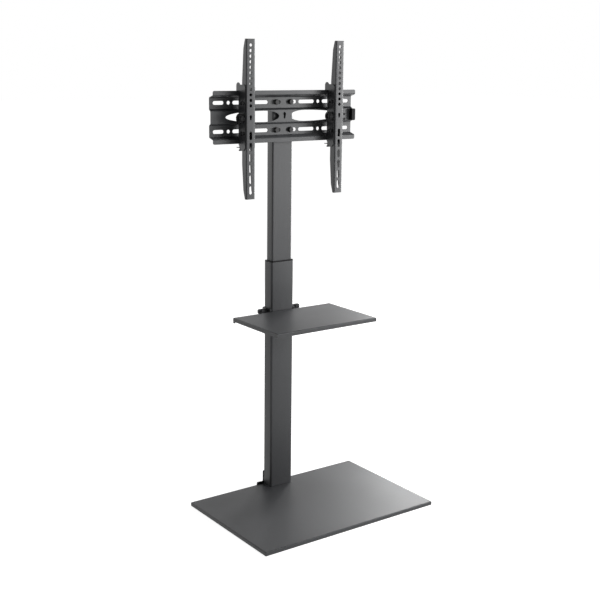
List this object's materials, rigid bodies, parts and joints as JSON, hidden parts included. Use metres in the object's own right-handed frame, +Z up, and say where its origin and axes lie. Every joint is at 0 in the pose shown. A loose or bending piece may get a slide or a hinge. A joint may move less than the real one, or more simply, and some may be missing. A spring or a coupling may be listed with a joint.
{
  "type": "tv floor stand",
  "caption": "Floor stand for a flat screen: steel base pan, telescoping column, clamped shelf tray and a slotted head rail with tilting hook-on arms.",
  "frame": {"origin": "centre of the base pan on the floor", "axes": "+X to the right and +Y to the back as seen from the screen's side, +Z up"},
  "size_m": [0.6, 0.4135, 1.362],
  "materials": {
    "grey_paint": "fine powder coat, dark grey, semi-gloss",
    "black_steel": "black coated steel, satin",
    "black_plastic": "moulded plastic, fine grain",
    "rubber": "matt moulded rubber",
    "zinc": "bright zinc plating",
    "brass": "plain turned brass"
  },
  "bodies": {
    "stand": {"base_pan": "grey_paint", "base_stiffener": "black_steel", "rubber_feet": "rubber", "column_foot_plate": "black_steel", "base_bolts": "zinc", "outer_tube": "grey_paint", "foot_bracket": "grey_paint", "foot_bracket_screws": "black_steel", "tube_collar": "black_plastic", "height_screw_boss": "black_steel"},
    "head": {"inner_tube": "grey_paint", "inner_tube_glide": "black_plastic", "inner_tube_cap": "black_plastic", "rail": "grey_paint", "rail_bolts": "black_steel", "rail_washers": "black_steel", "rail_nut_inserts": "zinc", "rail_end_block": "black_plastic"},
    "height_screw_upper": {"height_screw_upper": "black_steel"},
    "height_screw_lower": {"height_screw_lower": "black_steel"},
    "shelf": {"shelf_tray": "grey_paint", "shelf_bracket": "black_steel", "shelf_clamp_rear": "black_steel", "shelf_clamp_bolts": "black_steel", "shelf_clamp_nuts": "black_steel"},
    "left_hook": {"left_hook_bracket": "grey_paint", "left_tilt_bolt": "black_steel", "left_tilt_washer": "zinc"},
    "left_arm": {"left_arm": "grey_paint", "left_guide_pins": "black_steel"},
    "left_knob": {"left_tilt_knob": "black_plastic", "left_knob_insert": "brass"},
    "left_lock_screw": {"left_lock_screw": "black_steel"},
    "right_hook": {"right_hook_bracket": "grey_paint", "right_tilt_bolt": "black_steel", "right_tilt_washer": "zinc"},
    "right_arm": {"right_arm": "grey_paint", "right_guide_pins": "black_steel"},
    "right_knob": {"right_tilt_knob": "black_plastic", "right_knob_insert": "brass"},
    "right_lock_screw": {"right_lock_screw": "black_steel"}
  },
  "joints": [
    {"name": "column_height", "type": "slide", "parent": "stand", "child": "head", "axis": [0, 0, 1], "range_m": [-0.2, 0.1]},
    {"name": "height_screw_upper_travel", "type": "slide", "parent": "stand", "child": "height_screw_upper", "axis": [0, 1, 0], "range_m": [0, 0.004]},
    {"name": "height_screw_lower_travel", "type": "slide", "parent": "stand", "child": "height_screw_lower", "axis": [0, 1, 0], "range_m": [0, 0.004]},
    {"name": "shelf_height", "type": "slide", "parent": "stand", "child": "shelf", "axis": [0, 0, 1], "range_m": [-0.4, 0.07]},
    {"name": "left_arm_slide", "type": "slide", "parent": "head", "child": "left_hook", "axis": [1, 0, 0], "range_m": [-0.05, 0.1]},
    {"name": "left_tilt", "type": "hinge", "parent": "left_hook", "child": "left_arm", "pos_m": [-0.1503, 0.1215, 1.145], "axis": [1, 0, 0], "range_deg": [-8, 8]},
    {"name": "left_knob_turn", "type": "hinge", "parent": "left_hook", "child": "left_knob", "pos_m": [-0.1503, 0.1215, 1.145], "axis": [-1, 0, 0], "range_deg": [0, 360]},
    {"name": "left_lock_screw_travel", "type": "slide", "parent": "left_hook", "child": "left_lock_screw", "axis": [0, 0, -1], "range_m": [0, 0.01]},
    {"name": "right_arm_slide", "type": "slide", "parent": "head", "child": "right_hook", "axis": [1, 0, 0], "range_m": [-0.11, 0.038]},
    {"name": "right_tilt", "type": "hinge", "parent": "right_hook", "child": "right_arm", "pos_m": [0.1601, 0.1215, 1.145], "axis": [1, 0, 0], "range_deg": [-8, 8]},
    {"name": "right_knob_turn", "type": "hinge", "parent": "right_hook", "child": "right_knob", "pos_m": [0.1601, 0.1215, 1.145], "axis": [-1, 0, 0], "range_deg": [0, 360]},
    {"name": "right_lock_screw_travel", "type": "slide", "parent": "right_hook", "child": "right_lock_screw", "axis": [0, 0, -1], "range_m": [0, 0.01]}
  ]
}
